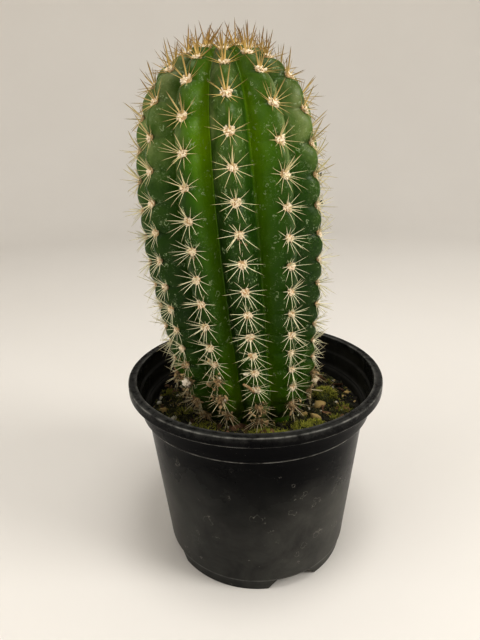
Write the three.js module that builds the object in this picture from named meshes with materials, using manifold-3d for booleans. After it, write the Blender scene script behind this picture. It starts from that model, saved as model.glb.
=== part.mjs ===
// A tall ribbed cactus growing in a round plastic nursery pot, as a three.js scene in millimetres.
// +Z is up. The origin is the middle of the pot's foot, on the surface that it stands on.
// -Y is the front. An azimuth is measured from the front towards +X, seen from above.
import * as THREE from "three";
import { mergeVertices } from "three/addons/utils/BufferGeometryUtils.js";
import Module from "manifold-3d";

const wasm = await Module();
wasm.setup();

// ---------------------------------------------------------------- driving dimensions

const GAP = 0.3; // clearance between pieces that touch
const ROUND_SIDES = 64; // sides of the pot and of the soil
const DRAW_SEED = 7; // seed of every random draw

const POT = {
  height: 117.8,
  rimRadius: 76.2,
  lipHeight: 5.9, // of the rolled lip's outer face
  lipWidth: 5.1, // of the lip's flat top
  lipRound: 1.3, // rounding of the lip's edges
  bandTopRadius: 71.9,
  bandBottomRadius: 69.6,
  bandBottom: 98.4, // height of the band's lower edge
  bodyTopRadius: 66.6,
  bodyBottomRadius: 57.6,
  footHeight: 7.4,
  footTopRadius: 56.9,
  footBottomRadius: 55.9,
  wall: 1.4,
  floor: 1.5,
};

const NOTCH = {
  count: 4, // gaps in the foot ring that let water out
  firstAzimuth: 22.5,
  topWidth: 20.5,
  bottomWidth: 31,
};

const DRAIN = { radius: 5.5, distance: 45, sides: 16 }; // one hole in the floor behind each notch

const SOIL = {
  top: 93.4, // mean height of its surface
  swell: 0.8, // height of its slow rises and hollows
  rings: [60, 54, 48, 42, 36, 24], // radii of the surface's vertices
  grains: 16, // grit and bark that lie half sunk in it
  grainRadius: [1.3, 2.4],
  grainRing: [42, 58], // they lie between these two radii
  holeClearance: 0.45, // between the root end and the hole that it stands in
};

const STEM = {
  ribs: 12,
  // Half outline of the stem through its areoles, as [radius, height], from the root end to the sunken tip.
  outline: [
    [0, 48],
    [14, 51],
    [25, 62],
    [30, 80],
    [32.5, 95],
    [40, 115],
    [42.7, 145],
    [45.9, 175],
    [46.8, 210],
    [43.5, 250],
    [34.2, 275],
    [19.2, 287.6],
    [8, 290.6],
    [0, 289.4],
  ],
  // Depth of the valleys below the areoles, as [height, depth].
  valleyDepth: [
    [60, 0],
    [95, 6.5],
    [130, 8],
    [180, 9.5],
    [250, 9.5],
    [283, 6],
    [290, 1],
  ],
  bump: 0.135, // how far the crest swells between two areoles, as a share of their spacing
  twist: -4, // degrees in every 100 mm of height
  twistCentre: 190, // height at which the crest azimuths of RIBS hold
  shoulder: 0.23, // place of a rib's flank vertices, in ribs from its crest
  footRow: -3, // areole number of the root end
  tipRow: 18, // areole number of the tip
};

// Azimuth of each rib's crest, and how far its areoles are shifted up, as a share of their spacing.
const RIBS = [
  { crest: 6.6, shift: 0.5 },
  { crest: 37.1, shift: 0.24 },
  { crest: 71.0, shift: 0.09 },
  { crest: 99.5, shift: 0.52 },
  { crest: 128.5, shift: 0.16 },
  { crest: 158.5, shift: 0.66 },
  { crest: 188.5, shift: 0.22 },
  { crest: 218.5, shift: 0.72 },
  { crest: 248.5, shift: 0.35 },
  { crest: 278.2, shift: 0.94 },
  { crest: 309.7, shift: 0.38 },
  { crest: 338.1, shift: 0.92 },
];

// Distance of areole n from the root end, along the outline, as [n, distance]. They crowd at the tip.
const AREOLE_STEPS = [
  [-3, 0],
  [0, 63.5],
  [2.5, 95.5],
  [5, 122],
  [7.5, 153],
  [10, 188],
  [12.5, 225],
  [14.5, 257],
  [15.5, 268.5],
  [16.5, 277.5],
  [18, 287.4],
];

const AREOLE = {
  last: 16, // row of the last one below the tip
  tipRadius: 10.5, // no areole lies nearer to the middle of the tip
  lowest: 100.5, // height under which the soil hides them
  padRadius: 1.75,
  padHeight: 1.3,
  padEdge: 0.3, // height of the pad's edge above the skin
  centralLength: 11,
  centralRadius: 0.6,
  crownStart: 262, // height from which the spines grow longer and stand up
  crownEnd: 290,
  crownGrowth: 1.15,
  crownLift: 26, // degrees by which the crown's spines stand up more
  spineFoot: 97.4, // no spine reaches lower
};

// The ring of spines of one areole, fewer than the real 9 to 12 but at their true length: the clock angle
// counted from straight up the rib, the length, and the angle by which the spine stands off the skin.
// Where areoles crowd, a spine stands up until it reaches no further than its room along the skin, a share
// of the gap to the next areole on the side that it points to.
const SPINES = [
  { clock: 150, length: 10.5, lift: 18, room: 0.8 },
  { clock: 90, length: 10.5, lift: 25, room: 0.43 },
  { clock: 30, length: 8, lift: 45, room: 0.42 },
  { clock: -30, length: 8, lift: 45, room: 0.42 },
  { clock: -90, length: 10.5, lift: 25, room: 0.43 },
  { clock: -150, length: 10.5, lift: 18, room: 0.8 },
];

// ---------------------------------------------------------------- helpers

const point = (x, z) => new THREE.Vector2(x, z);
const radians = THREE.MathUtils.degToRad;

// A repeatable draw between two values.
function makeDraw(seed) {
  let state = seed;
  return (low, high) => {
    state = (state * 16807) % 2147483647;
    return low + ((high - low) * state) / 2147483647;
  };
}

// Reads a table of [x, y] rows in straight lines between its rows.
function readTable(table, x) {
  const next = table.findIndex((row) => row[0] >= x);
  if (next < 0) return table[table.length - 1][1];
  if (next === 0) return table[0][1];
  const [x0, y0] = table[next - 1];
  const [x1, y1] = table[next];
  return y0 + ((y1 - y0) * (x - x0)) / (x1 - x0);
}

// A closed three.js geometry as a solid that can be joined and cut.
function solid(geometry) {
  const bare = new THREE.BufferGeometry();
  bare.setAttribute("position", geometry.getAttribute("position").clone());
  bare.setIndex(geometry.index ? geometry.index.clone() : null);
  const merged = mergeVertices(bare, 1e-4);
  return new wasm.Manifold(
    new wasm.Mesh({
      numProp: 3,
      vertProperties: merged.attributes.position.array,
      triVerts: new Uint32Array(merged.index.array),
    }),
  );
}

// A solid as a named mesh with its own material.
function nodeOf(name, shape, material) {
  const made = shape.getMesh();
  const geometry = new THREE.BufferGeometry();
  const positions = new Float32Array(made.vertProperties);
  geometry.setAttribute("position", new THREE.BufferAttribute(positions, 3));
  geometry.setIndex(new THREE.BufferAttribute(new Uint32Array(made.triVerts), 1));
  geometry.computeVertexNormals();
  const mesh = new THREE.Mesh(geometry, new THREE.MeshStandardMaterial(material));
  mesh.name = name;
  return mesh;
}

// Turns a closed half outline of [radius, height] points round the Z axis.
function turned(outline, sides) {
  const geometry = new THREE.LatheGeometry(outline, sides);
  geometry.rotateX(Math.PI / 2);
  return geometry;
}

// ---------------------------------------------------------------- pot

// Inner radius of the body's wall at a height.
function innerRadius(height) {
  const rise = (height - POT.footHeight) / (POT.bandBottom - POT.footHeight);
  return THREE.MathUtils.lerp(POT.bodyBottomRadius, POT.bodyTopRadius, rise) - POT.wall;
}

function potOutline() {
  const lipBottom = POT.height - POT.lipHeight;
  const floorTop = POT.footHeight + POT.floor;
  const lipInner = POT.rimRadius - POT.lipWidth;
  return [
    point(0, POT.footHeight),
    point(POT.footTopRadius - POT.wall, POT.footHeight),
    point(POT.footBottomRadius - POT.wall, 0),
    point(POT.footBottomRadius, 0),
    point(POT.footTopRadius, POT.footHeight),
    point(POT.bodyBottomRadius, POT.footHeight + 0.5),
    point(POT.bodyTopRadius, POT.bandBottom),
    point(POT.bandBottomRadius, POT.bandBottom + 0.2),
    point(POT.bandBottomRadius + 0.4, POT.bandBottom + 1),
    point(POT.bandTopRadius, lipBottom - 0.2),
    point(POT.rimRadius - POT.lipRound, lipBottom),
    point(POT.rimRadius, lipBottom + POT.lipRound),
    point(POT.rimRadius, POT.height - POT.lipRound),
    point(POT.rimRadius - POT.lipRound, POT.height),
    point(lipInner + 0.6, POT.height),
    point(lipInner, POT.height - 0.8),
    point(lipInner - 0.4, POT.height - 9),
    point(POT.bandTopRadius - 2 * POT.wall, POT.height - 10),
    point(POT.bandBottomRadius - POT.wall, POT.bandBottom + 0.8),
    point(innerRadius(POT.bandBottom - 1.5), POT.bandBottom - 1.5),
    point(innerRadius(floorTop), floorTop),
    point(0, floorTop),
  ];
}

// A wedge that cuts one gap with slanted ends through the foot ring.
function notchCutter(azimuth) {
  const top = POT.footHeight - 0.4;
  const shape = new THREE.Shape([
    point(-NOTCH.bottomWidth / 2, 0),
    point(NOTCH.bottomWidth / 2, 0),
    point(NOTCH.topWidth / 2, top),
    point(-NOTCH.topWidth / 2, top),
  ]);
  const reach = 14;
  const geometry = new THREE.ExtrudeGeometry(shape, { depth: reach, bevelEnabled: false });
  geometry.rotateX(Math.PI / 2);
  geometry.translate(0, -(POT.footTopRadius + 2 - reach), -0.01);
  geometry.rotateZ(radians(azimuth));
  return solid(geometry);
}

function drainCutter(azimuth) {
  const geometry = new THREE.CylinderGeometry(DRAIN.radius, DRAIN.radius, 4 * POT.floor, DRAIN.sides);
  geometry.rotateX(Math.PI / 2);
  geometry.translate(0, -DRAIN.distance, POT.footHeight);
  geometry.rotateZ(radians(azimuth));
  return solid(geometry);
}

function makePot() {
  let pot = solid(turned(potOutline(), ROUND_SIDES));
  for (let n = 0; n < NOTCH.count; n++) {
    const azimuth = NOTCH.firstAzimuth + (n * 360) / NOTCH.count;
    pot = pot.subtract(notchCutter(azimuth)).subtract(drainCutter(azimuth));
  }
  return nodeOf("pot", pot, { color: 0x17181a, roughness: 0.42, metalness: 0 });
}

// ---------------------------------------------------------------- stem

const outlineCurve = new THREE.SplineCurve(STEM.outline.map(([r, z]) => point(r, z)));
outlineCurve.arcLengthDivisions = 1200;
const outlineLength = outlineCurve.getLength();

// The stem's middle leans to the left and a little to the front, and bends back towards its tip.
function stemAxis(z) {
  const t = (z - 100) / 190;
  return point(-3.6 - 17.1 * t + 7.84 * t * t, 2 - 13.9 * t);
}

// Azimuth of rib u's crest at a height, where u may lie between two ribs.
function crestAzimuth(u, z) {
  const low = Math.floor(u);
  const here = RIBS[low % STEM.ribs].crest + 360 * Math.floor(low / STEM.ribs);
  const next = RIBS[(low + 1) % STEM.ribs].crest + 360 * Math.floor((low + 1) / STEM.ribs);
  const turn = (STEM.twist * (z - STEM.twistCentre)) / 100;
  return THREE.MathUtils.lerp(here, next, u - low) + turn;
}

// Upward shift of the areoles at u, a smooth mean of the two ribs beside it.
function shiftAt(u) {
  const low = Math.floor(u);
  const here = RIBS[low % STEM.ribs].shift;
  const next = RIBS[(low + 1) % STEM.ribs].shift;
  return THREE.MathUtils.lerp(here, next, u - low);
}

// Number along the rib of a row of vertices: rows follow the areoles, and are level at both ends.
function rowNumber(row, u) {
  const tipFade = THREE.MathUtils.clamp((STEM.tipRow - row) / 2, 0, 1);
  const footFade = THREE.MathUtils.clamp(1 - row / STEM.footRow, 0, 1);
  return row + shiftAt(u) * tipFade * footFade;
}

// A point of the stem's outline at an areole number.
function outlinePoint(number) {
  const share = readTable(AREOLE_STEPS, number) / outlineLength;
  return outlineCurve.getPointAt(THREE.MathUtils.clamp(share, 0, 1));
}

// Distance along the rib from one areole to the next.
function spacingAt(number) {
  return readTable(AREOLE_STEPS, number + 0.5) - readTable(AREOLE_STEPS, number - 0.5);
}

// A point of the skin at a row of rib u, grown outwards by an offset.
function skinPoint(u, row, offset = 0) {
  const number = rowNumber(row, u);
  const ring = outlinePoint(number);
  const fromCrest = 2 * Math.abs(u - Math.round(u));
  const rib = 1 - Math.pow(fromCrest, 1.5);
  const depth = Math.min(readTable(STEM.valleyDepth, ring.y), 0.4 * ring.x);
  const swelling = row < 0 ? 0 : STEM.bump * spacingAt(number) * Math.abs(Math.sin(Math.PI * row));
  const radius = Math.max(ring.x - depth * (1 - rib) + swelling * rib + offset, 0);
  const angle = radians(crestAzimuth(u, ring.y));
  const axis = stemAxis(ring.y);
  return new THREE.Vector3(axis.x + radius * Math.sin(angle), axis.y - radius * Math.cos(angle), ring.y);
}

// ---------------------------------------------------------------- areoles and spines

// The frame of an areole: its place, the way out of the skin, and the ways up and across the rib.
function areoleFrame(rib, row) {
  const place = skinPoint(rib, row);
  const above = skinPoint(rib, row + 1);
  const below = skinPoint(rib, Math.max(row - 1, 0));
  const angle = radians(crestAzimuth(rib, place.z));
  const across = new THREE.Vector3(Math.cos(angle), Math.sin(angle), 0);
  const up = above.sub(below).normalize();
  const out = new THREE.Vector3().crossVectors(across, up).normalize();
  const number = rowNumber(row, rib);
  const spacing = spacingAt(number);
  const ribGap = (2 * Math.PI * outlinePoint(number).x) / STEM.ribs;
  return { place, out, up, across, spacing, ribGap };
}

// A point near an areole, by clock angle, distance along the skin and height above it.
function nearAreole(frame, clock, reach, height) {
  return frame.place
    .clone()
    .addScaledVector(frame.up, Math.cos(radians(clock)) * reach)
    .addScaledVector(frame.across, Math.sin(radians(clock)) * reach)
    .addScaledVector(frame.out, height);
}

// Tip of one spine of the ring.
function spineTip(frame, spine, crown, draw) {
  const length = spine.length * THREE.MathUtils.lerp(1, AREOLE.crownGrowth, crown) * draw(0.9, 1.08);
  const lift = radians(spine.lift + AREOLE.crownLift * crown + draw(-4, 4));
  const clock = spine.clock + draw(-7, 7);
  const gap = Math.abs(spine.clock) === 90 ? frame.ribGap : frame.spacing;
  const reach = Math.min(Math.cos(lift) * length, spine.room * gap);
  const height = Math.sqrt(length * length - reach * reach);
  const tip = nearAreole(frame, clock, reach, height);
  tip.z = Math.max(tip.z, AREOLE.spineFoot);
  return tip;
}

// Tip of the stout spine in the middle of an areole.
function centralTip(frame, crown, draw) {
  const length = AREOLE.centralLength * THREE.MathUtils.lerp(1, AREOLE.crownGrowth, crown) * draw(0.85, 1.1);
  const lean = length * THREE.MathUtils.lerp(0.3, 0.1, crown);
  const tip = nearAreole(frame, draw(0, 360), lean * draw(0, 1), length);
  tip.z = Math.max(tip.z, AREOLE.spineFoot);
  return tip;
}

// Joins an outer and an inner loop of vertices by a strip of triangles. Both run the same way round.
function bridge(faces, outer, inner) {
  let a = 0;
  let b = 0;
  while (a < outer.length || b < inner.length) {
    const stepOuter = (a + 0.5) / outer.length <= (b + 0.5) / inner.length;
    const outerHere = outer[a % outer.length];
    const innerHere = inner[b % inner.length];
    if (stepOuter) {
      faces.push(outerHere, outer[(a + 1) % outer.length], innerHere);
      a++;
    } else {
      faces.push(outerHere, inner[(b + 1) % inner.length], innerHere);
      b++;
    }
  }
}

// Whether a rib has an areole at a row: on whole rows, from the soil to just below the tip.
function hasAreole(rib, row) {
  if (!Number.isInteger(row) || row < 0 || row > AREOLE.last) return false;
  const ring = outlinePoint(rowNumber(row, rib));
  return ring.y >= AREOLE.lowest && ring.x >= AREOLE.tipRadius;
}

// Grows one felted pad with its spines out of the skin, inside a loop of skin vertices.
// The vertex that was in the middle of the loop becomes the tip of the middle spine.
function growAreole(mesh, frame, loop, middle, draw) {
  const crown = THREE.MathUtils.smoothstep(frame.place.z, AREOLE.crownStart, AREOLE.crownEnd);
  const radius = Math.min(AREOLE.padRadius, 0.13 * frame.ribGap);
  const add = (place) => mesh.vertices.push(place) - 1;
  const count = SPINES.length;
  const spot = (clock, reach, height) => add(nearAreole(frame, clock, reach, height));
  const edge = SPINES.map((spine) => spot(spine.clock + 180 / count, radius, AREOLE.padEdge));
  const tips = SPINES.map((spine) => add(spineTip(frame, spine, crown, draw)));
  const top = [120, 0, -120].map((clock) => spot(clock, AREOLE.centralRadius, AREOLE.padHeight));
  mesh.vertices[middle] = centralTip(frame, crown, draw);
  bridge(mesh.faces, loop, edge);
  for (let n = 0; n < count; n++) {
    const a = edge[n];
    const b = edge[(n + 1) % count];
    const ridge = top[Math.floor(n / 2)];
    const nextRidge = top[Math.floor((n + 1) / 2) % top.length];
    mesh.faces.push(a, b, tips[n], a, tips[n], ridge, tips[n], b, ridge);
    if (nextRidge !== ridge) mesh.faces.push(ridge, b, nextRidge, ridge, nextRidge, middle);
  }
}

// ---------------------------------------------------------------- stem

// The skin as one closed mesh of rows and columns, with a single vertex at the tip and at the root end.
// With a draw, areoles and their spines grow out of the crests.
function stemSolid(offset, draw) {
  const columns = [];
  for (let rib = 0; rib < STEM.ribs; rib++) {
    columns.push(rib, rib + STEM.shoulder, rib + 0.5, rib + 1 - STEM.shoulder);
  }
  const rows = [];
  for (let row = STEM.footRow + 0.5; row < STEM.tipRow; row += 0.5) {
    rows.push(row);
  }
  const down = new THREE.Vector3(0, 0, offset);
  const mesh = { vertices: [skinPoint(0, STEM.footRow).sub(down)], faces: [] };
  rows.forEach((row) => mesh.vertices.push(...columns.map((u) => skinPoint(u, row, offset))));
  const tip = mesh.vertices.push(skinPoint(0, STEM.tipRow).add(down)) - 1;
  const across = columns.length;
  const at = (row, column) => 1 + row * across + ((column + across) % across);
  const frameAt = (row, column) => areoleFrame(columns[column % across], rows[row]);
  const isAreole = (row, column) =>
    draw !== undefined && column % 4 === 0 && hasAreole(columns[column % across], rows[row]);
  for (let column = 0; column < across; column++) {
    mesh.faces.push(0, at(0, column + 1), at(0, column));
    mesh.faces.push(at(rows.length - 1, column), at(rows.length - 1, column + 1), tip);
    for (let row = 0; row < rows.length - 1; row++) {
      const corners = [0, 1].flatMap((r) => [0, 1].map((c) => [row + r, column + c]));
      if (corners.some(([r, c]) => isAreole(r, c))) continue;
      const [a, b, d, c] = corners.map(([r, k]) => at(r, k));
      mesh.faces.push(a, b, c, a, c, d);
    }
  }
  for (let column = 0; column < across; column += 4) {
    for (let row = 1; row < rows.length - 1; row++) {
      if (!isAreole(row, column)) continue;
      const round = [[-1, 0], [-1, 1], [0, 1], [1, 1], [1, 0], [1, -1], [0, -1], [-1, -1]];
      const loop = round.map(([r, c]) => at(row + r, column + c));
      growAreole(mesh, frameAt(row, column), loop, at(row, column), draw);
    }
  }
  const geometry = new THREE.BufferGeometry().setFromPoints(mesh.vertices);
  geometry.setIndex(mesh.faces);
  return solid(geometry);
}

function makeCactus() {
  const cactus = stemSolid(0, makeDraw(DRAW_SEED));
  return nodeOf("cactus", cactus, { color: 0x2f5a1e, roughness: 0.5, metalness: 0 });
}

// ---------------------------------------------------------------- soil

// Height of the soil's surface: slow rises and hollows, a little lower at the wall.
function soilHeight(x, y) {
  const waves = Math.sin(x / 9 + 1) * Math.cos(y / 11) + 0.6 * Math.sin((x + 2 * y) / 6.5);
  return SOIL.top + SOIL.swell * waves;
}

function soilBody() {
  const bottom = POT.footHeight + POT.floor + GAP;
  const outline = [
    point(0, bottom),
    point(innerRadius(bottom) - GAP, bottom),
    point(innerRadius(SOIL.top) - GAP, SOIL.top),
    ...SOIL.rings.map((radius) => point(radius, SOIL.top)),
    point(0, SOIL.top),
  ];
  const geometry = turned(outline, ROUND_SIDES);
  const positions = geometry.getAttribute("position");
  for (let i = 0; i < positions.count; i++) {
    if (positions.getZ(i) > SOIL.top - 0.1) {
      positions.setZ(i, soilHeight(positions.getX(i), positions.getY(i)));
    }
  }
  return solid(geometry);
}

// One grain of grit or chip of bark, half sunk in the surface.
function grainSolid(draw) {
  const azimuth = draw(0, 2 * Math.PI);
  const distance = draw(...SOIL.grainRing);
  const radius = draw(...SOIL.grainRadius);
  const x = distance * Math.sin(azimuth);
  const y = distance * Math.cos(azimuth);
  const geometry = new THREE.IcosahedronGeometry(radius, 0);
  geometry.scale(draw(0.9, 1.6), draw(0.9, 1.2), draw(0.7, 1));
  geometry.rotateZ(draw(0, Math.PI));
  geometry.translate(x, y, soilHeight(x, y) + 0.2 * radius);
  return solid(geometry);
}

function makeSoil() {
  const draw = makeDraw(DRAW_SEED + 1);
  const pieces = [soilBody()];
  for (let n = 0; n < SOIL.grains; n++) {
    pieces.push(grainSolid(draw));
  }
  const soil = wasm.Manifold.union(pieces).subtract(stemSolid(SOIL.holeClearance));
  return nodeOf("soil", soil, { color: 0x2a2117, roughness: 1, metalness: 0 });
}

// ---------------------------------------------------------------- the plant in its pot

const pottedCactus = new THREE.Group();
pottedCactus.add(makePot(), makeSoil(), makeCactus());

export default pottedCactus;
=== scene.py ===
"""A tall ribbed cactus in a black nursery pot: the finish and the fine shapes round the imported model.

Lengths are millimetres until a mesh is made, and the frame's axes are kept: +Z up, -Y to the front.
An azimuth is measured from the front towards +X, seen from above, in degrees.
"""
from math import cos, exp, hypot, pi, radians, sin, sqrt

import bmesh
import bpy
import numpy as np
from mathutils import Matrix, Quaternion, Vector, noise


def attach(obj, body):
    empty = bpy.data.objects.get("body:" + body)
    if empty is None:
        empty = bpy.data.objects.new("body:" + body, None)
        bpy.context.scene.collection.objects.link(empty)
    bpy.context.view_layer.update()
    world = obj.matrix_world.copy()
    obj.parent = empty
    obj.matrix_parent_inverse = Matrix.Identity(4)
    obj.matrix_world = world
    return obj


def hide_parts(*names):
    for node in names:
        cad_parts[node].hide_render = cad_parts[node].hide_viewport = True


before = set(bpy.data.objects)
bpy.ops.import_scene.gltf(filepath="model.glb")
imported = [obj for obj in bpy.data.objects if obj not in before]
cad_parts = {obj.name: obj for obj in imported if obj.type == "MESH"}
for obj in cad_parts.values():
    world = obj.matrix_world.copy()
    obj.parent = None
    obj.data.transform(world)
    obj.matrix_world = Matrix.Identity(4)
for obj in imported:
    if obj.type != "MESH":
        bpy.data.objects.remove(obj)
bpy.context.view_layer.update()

MM = 0.001

# -------- sizes shared with the solids

RIBS = 12
CREST = [6.6, 37.1, 71, 99.5, 128.5, 158.5, 188.5, 218.5, 248.5, 278.2, 309.7, 338.1]  # azimuth of each rib
SHIFT = [0.5, 0.24, 0.09, 0.52, 0.16, 0.66, 0.22, 0.72, 0.35, 0.94, 0.38, 0.92]  # of its areoles, in spacings
OUTLINE = [  # half outline of the stem through its areoles, as radius and height
    (0, 48), (14, 51), (25, 62), (30, 80), (32.5, 95), (40, 115), (42.7, 145), (45.9, 175),
    (46.8, 210), (43.5, 250), (34.2, 275), (19.2, 287.6), (8, 290.6), (0, 289.4),
]
VALLEY_DEPTH = [(60, 0), (95, 6.5), (130, 8), (180, 9.5), (250, 9.5), (283, 6), (290, 1)]  # by height
AREOLE_STEPS = [  # distance along the outline by areole number
    (-3, 0), (0, 63.5), (2.5, 95.5), (5, 122), (7.5, 153), (10, 188), (12.5, 225),
    (14.5, 257), (15.5, 268.5), (16.5, 277.5), (18, 287.4),
]
TIP_NUMBER = 18  # areole number of the tip
LAST_ROW = 17
TWIST = -4  # degrees in every 100 mm of height
TWIST_CENTRE = 190
ROOT_END = 47.5  # height of the hole's floor in the soil

POT_HEIGHT = 117.8
RIM_RADIUS = 76.2
LIP_BOTTOM = POT_HEIGHT - 5.9
BAND_BOTTOM = 98.4
BODY_RADIUS = 57.6  # above the foot
BODY_FLARE = 9  # by which it widens up to the band
FOOT_HEIGHT = 7.4
WALL = 1.4
FLOOR_TOP = FOOT_HEIGHT + 1.5
NOTCHES = 4
NOTCH_AZIMUTH = 22.5
DRAIN_DISTANCE, DRAIN_RADIUS = 45, 5.5
SOIL_TOP = 93.4
SOIL_SWELL = 0.8
GAP = 0.3
SOIL_RADIUS = 64.6 - GAP  # at its surface

# -------- meshes


def link(name, data):
    """A new object in the scene."""
    obj = bpy.data.objects.new(name, data)
    bpy.context.scene.collection.objects.link(obj)
    return obj


def mesh_object(name, vertices, faces, material=None, smooth=True, marks=None):
    """An object from millimetre vertices and a list or an array of faces, with a number per vertex for each mark."""
    mesh = bpy.data.meshes.new(name)
    faces = faces.tolist() if isinstance(faces, np.ndarray) else faces
    mesh.from_pydata((np.array(vertices) * MM).tolist(), [], faces)
    mesh.polygons.foreach_set("use_smooth", np.full(len(faces), smooth))
    mesh.validate()
    for mark, values in (marks or {}).items():
        mesh.attributes.new(mark, "FLOAT", "POINT").data.foreach_set("value", np.asarray(values, np.float32))
    if material:
        mesh.materials.append(material)
    return link(name, mesh)


def make_object(name, vertices, faces, material, slot, replaced=None, **look):
    """A piece of the model, riding on the body."""
    obj = mesh_object(name, vertices, faces, material, **look)
    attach(obj, "root")
    if replaced:
        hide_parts(replaced)
    return obj


def grid_faces(rows, columns):
    """Triangles of a closed band of rows and columns, with a pole vertex before the first and after the last row."""
    def at(row, column):
        return 1 + row * columns + column % columns

    r, c = np.meshgrid(np.arange(rows - 1), np.arange(columns), indexing="ij")
    a, b, d, e = at(r, c), at(r, c + 1), at(r + 1, c), at(r + 1, c + 1)
    body = np.concatenate([np.stack([a, b, e], -1).reshape(-1, 3), np.stack([a, e, d], -1).reshape(-1, 3)])
    c = np.arange(columns)
    foot = np.stack([np.zeros_like(c), at(0, c + 1), at(0, c)], -1)
    tip = np.stack([at(rows - 1, c), at(rows - 1, c + 1), np.full_like(c, 1 + rows * columns)], -1)
    return np.concatenate([foot, body, tip])


def compass(azimuth):
    """The way out from an axis at an azimuth, as x and y."""
    return np.array([np.sin(np.radians(azimuth)), -np.cos(np.radians(azimuth))])


def circle(columns):
    """The ways out all round an axis."""
    return compass(np.linspace(0, 360, columns, endpoint=False))


def ring(spots, level):
    """A row of vertices from their x and y, at one height or at one for each."""
    return np.stack(np.broadcast_arrays(*spots, np.asarray(level, float)), -1)


def tube(foot, rings, tip):
    """Vertices and triangles of a closed body, from one pole over rows of vertices to the other."""
    return np.concatenate([[foot], *rings, [tip]]), grid_faces(len(rings), len(rings[0]))


def unit(way):
    return way / np.linalg.norm(way)


def icosphere(level):
    ball = bmesh.new()
    bmesh.ops.create_icosphere(ball, subdivisions=level, radius=1)
    vertices = np.array([v.co[:] for v in ball.verts])
    faces = np.array([[v.index for v in f.verts] for f in ball.faces])
    ball.free()
    return vertices, faces


ICO = {level: icosphere(level) for level in (1, 2, 3)}


def uneven(rng, vertices, rough):
    """A random factor for every vertex."""
    return 1 + rough * (rng.random((len(vertices), 1)) * 2 - 1)


def lump(rng, size, stretch, rough, level):
    """A small irregular stone or crumb as a distorted icosphere, with a random turn."""
    vertices, faces = ICO[level]
    shape = vertices * uneven(rng, vertices, rough) * stretch * size
    turn = Quaternion(rng.normal(size=4)).normalized().to_matrix()
    return shape @ np.array(turn).T, faces


class Gathered:
    """Rows gathered for one object, with a number in each row for every mark."""

    def __init__(self):
        self.rows, self.marks = [], {}

    def add(self, *row, **marks):
        self.rows.append(row)
        for name, value in marks.items():
            self.marks.setdefault(name, []).append(value)

    def spread(self, counts):
        """The marks of all vertices, from the number of vertices in a row."""
        return {name: np.repeat(np.array(values, float), counts) for name, values in self.marks.items()}


class Bits(Gathered):
    """Loose shapes. A row has vertices and faces."""

    def make(self, name, material, slot, smooth=True):
        shapes, faces = zip(*self.rows)
        counts = [len(shape) for shape in shapes]
        faces = np.concatenate([f + start for f, start in zip(faces, np.cumsum([0] + counts))])
        make_object(name, np.concatenate(shapes), faces, material, slot, smooth=smooth, marks=self.spread(counts))


STRAIGHT = (0, 0, 0)


class Strands(Gathered):
    """Closed tapering needles. A row has root, tip, radius and bow. The mark "along" is the share of the length."""

    def make(self, name, material, slot, sides=3, rings=2, taper=1, waist=0.1):
        roots, tips, radius, bows = (np.array(column, float) for column in zip(*self.rows))
        length = np.linalg.norm(tips - roots, axis=1, keepdims=True)
        way = (tips - roots) / length
        side = np.cross(way, np.where(np.abs(way[:, 2:]) < 0.9, [[0, 0, 1]], [[1, 0, 0]]))
        side /= np.linalg.norm(side, axis=1, keepdims=True)
        other = np.cross(way, side)
        layers, along = [roots], [0]
        for t in (n / rings for n in range(rings)):
            centre = roots + way * length * t + bows * (4 * t * (1 - t))
            wide = radius[:, None] * ((1 - t) ** taper * (1 - waist) + waist)
            for angle in (2 * pi * k / sides for k in range(sides)):
                layers.append(centre + wide * (side * cos(angle) + other * sin(angle)))
                along.append(t)
        count, per = len(roots), len(layers) + 1
        vertices = np.stack([*layers, tips], 1).reshape(-1, 3)
        faces = (grid_faces(rings, sides) + (np.arange(count) * per)[:, None, None]).reshape(-1, 3)
        marks = {**self.spread(per), "along": np.tile([*along, 1], count)}
        make_object(name, vertices, faces, material, slot, marks=marks)


# -------- materials


def linear(colour):
    """A colour as a screen shows it, three numbers from 0 to 255, as linear RGBA. Anything else stays as it is."""
    if not (isinstance(colour, tuple) and len(colour) == 3):
        return colour
    return (*[c / 12.92 if c <= 0.04045 else ((c + 0.055) / 1.055) ** 2.4 for c in (c / 255 for c in colour)], 1)


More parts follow.
